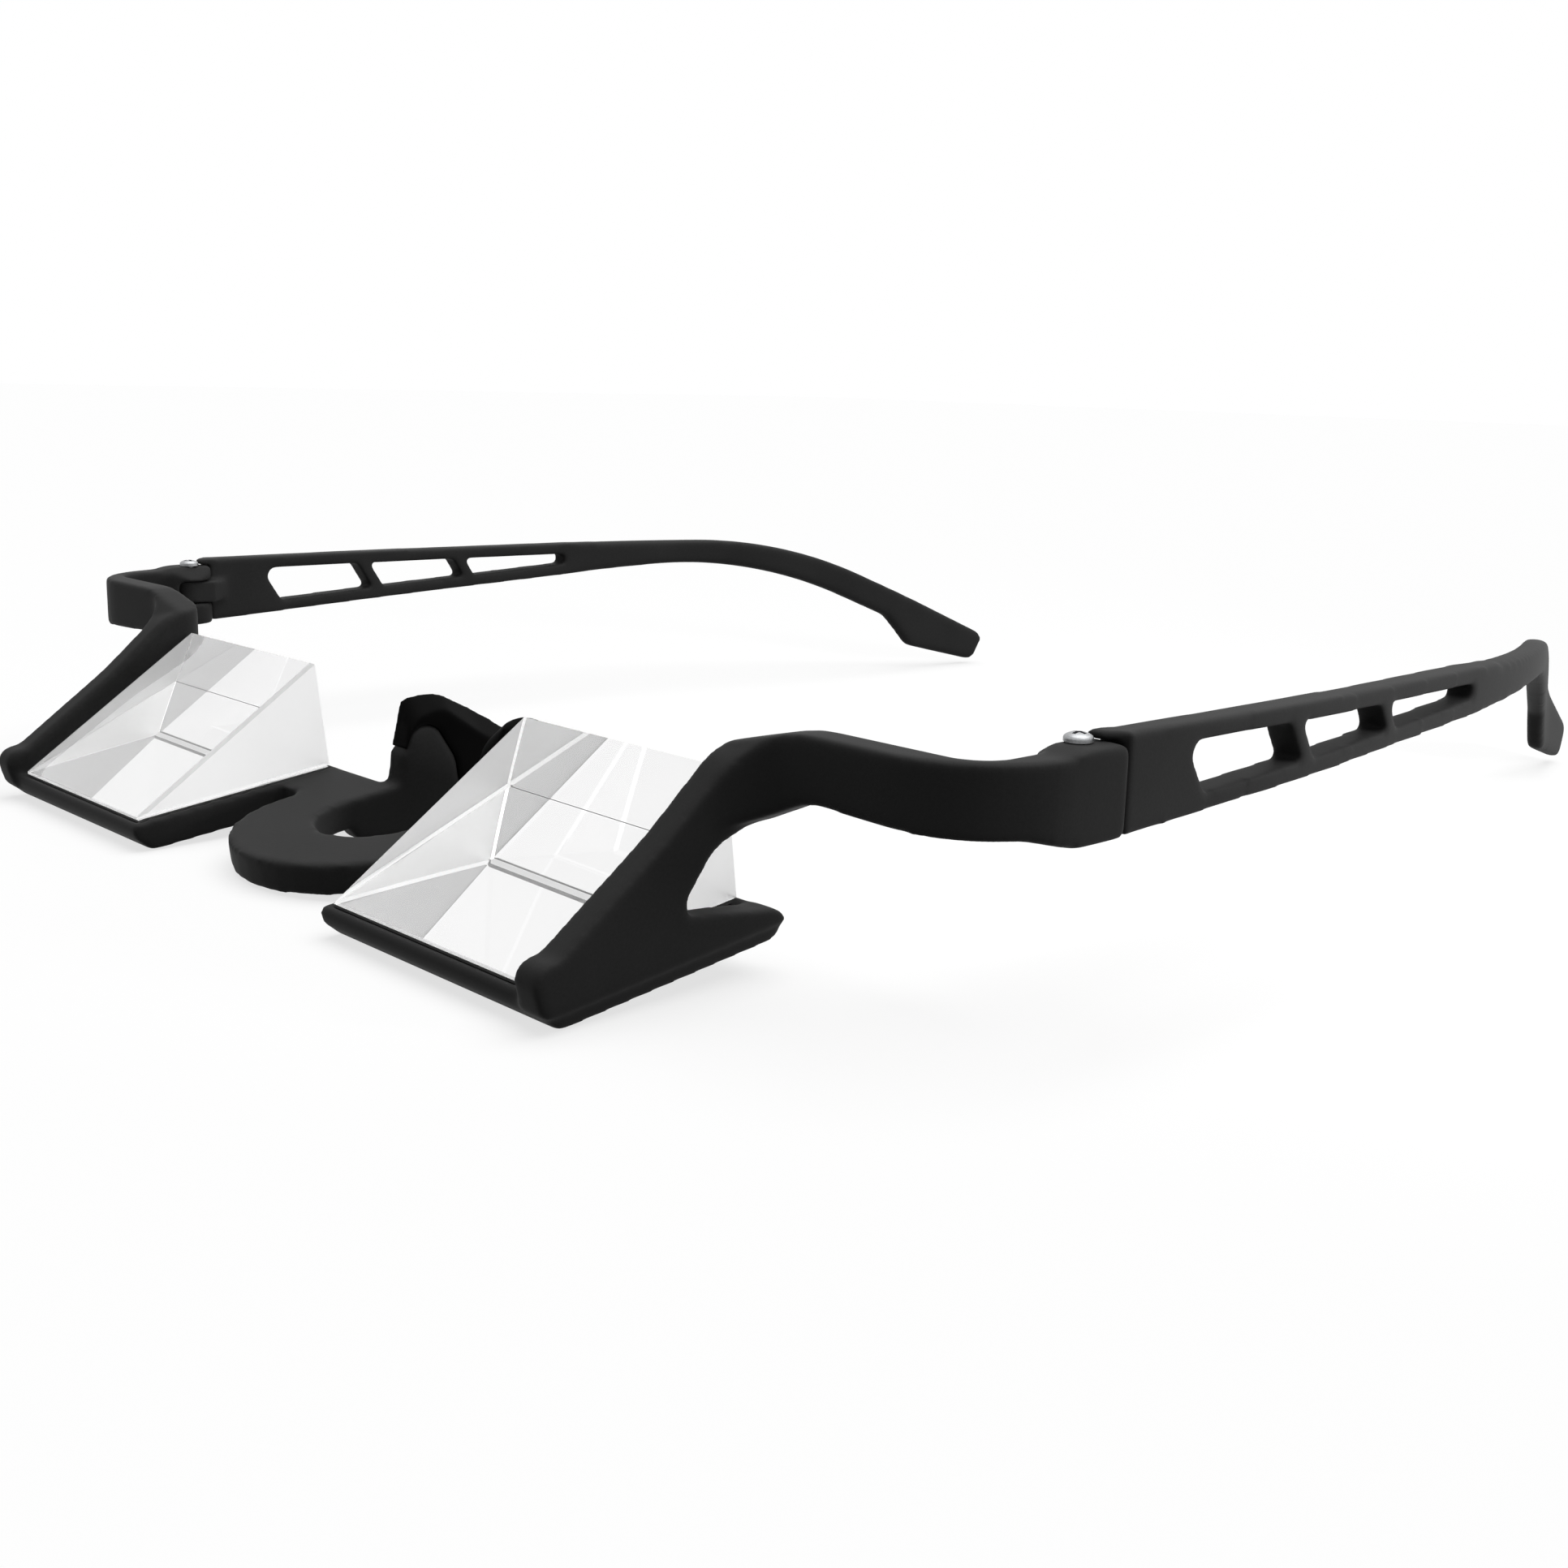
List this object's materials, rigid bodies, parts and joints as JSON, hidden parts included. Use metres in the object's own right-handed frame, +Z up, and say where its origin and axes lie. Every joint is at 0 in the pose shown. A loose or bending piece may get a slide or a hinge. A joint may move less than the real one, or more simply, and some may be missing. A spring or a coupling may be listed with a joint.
{
  "type": "belay glasses",
  "caption": "Prism glasses with wedge-shaped glass blocks on front trays, a U-shaped nose plate with rubber-covered wings, and folding temples with slanted cut-outs and dropped ear hooks.",
  "frame": {"origin": "centre of the footprint, on the table the open glasses stand on", "axes": "+X to the wearer's left, +Y from the front towards the ears, +Z up; the open temples run along +Y"},
  "size_m": [0.149, 0.1691, 0.0226],
  "materials": {
    "frame_black": "fine-grained matte black",
    "prism_glass": "polished clear glass",
    "mirror_coat": "silvered mirror",
    "adhesive": "black elastic adhesive",
    "pad_rubber": "soft black rubber",
    "screw_steel": "plated steel",
    "insert_brass": "turned brass"
  },
  "bodies": {
    "front": {"front_frame": "frame_black", "prism_left": "prism_glass", "prism_right": "prism_glass", "mirror_layer_left": "mirror_coat", "mirror_layer_right": "mirror_coat", "bond_layer_left": "adhesive", "bond_layer_right": "adhesive", "nose_pad_left": "pad_rubber", "nose_pad_right": "pad_rubber", "hinge_screw_left": "screw_steel", "hinge_screw_right": "screw_steel", "hinge_insert_left": "insert_brass", "hinge_insert_right": "insert_brass"},
    "left_temple": {"temple_left": "frame_black"},
    "right_temple": {"temple_right": "frame_black"}
  },
  "joints": [
    {"name": "left_temple_fold", "type": "hinge", "parent": "front", "child": "left_temple", "pos_m": [0.07119, -0.05085, 0.019], "axis": [0, 0, 1], "range_deg": [0, 83]},
    {"name": "right_temple_fold", "type": "hinge", "parent": "front", "child": "right_temple", "pos_m": [-0.07119, -0.05085, 0.019], "axis": [0, 0, -1], "range_deg": [0, 75]}
  ]
}
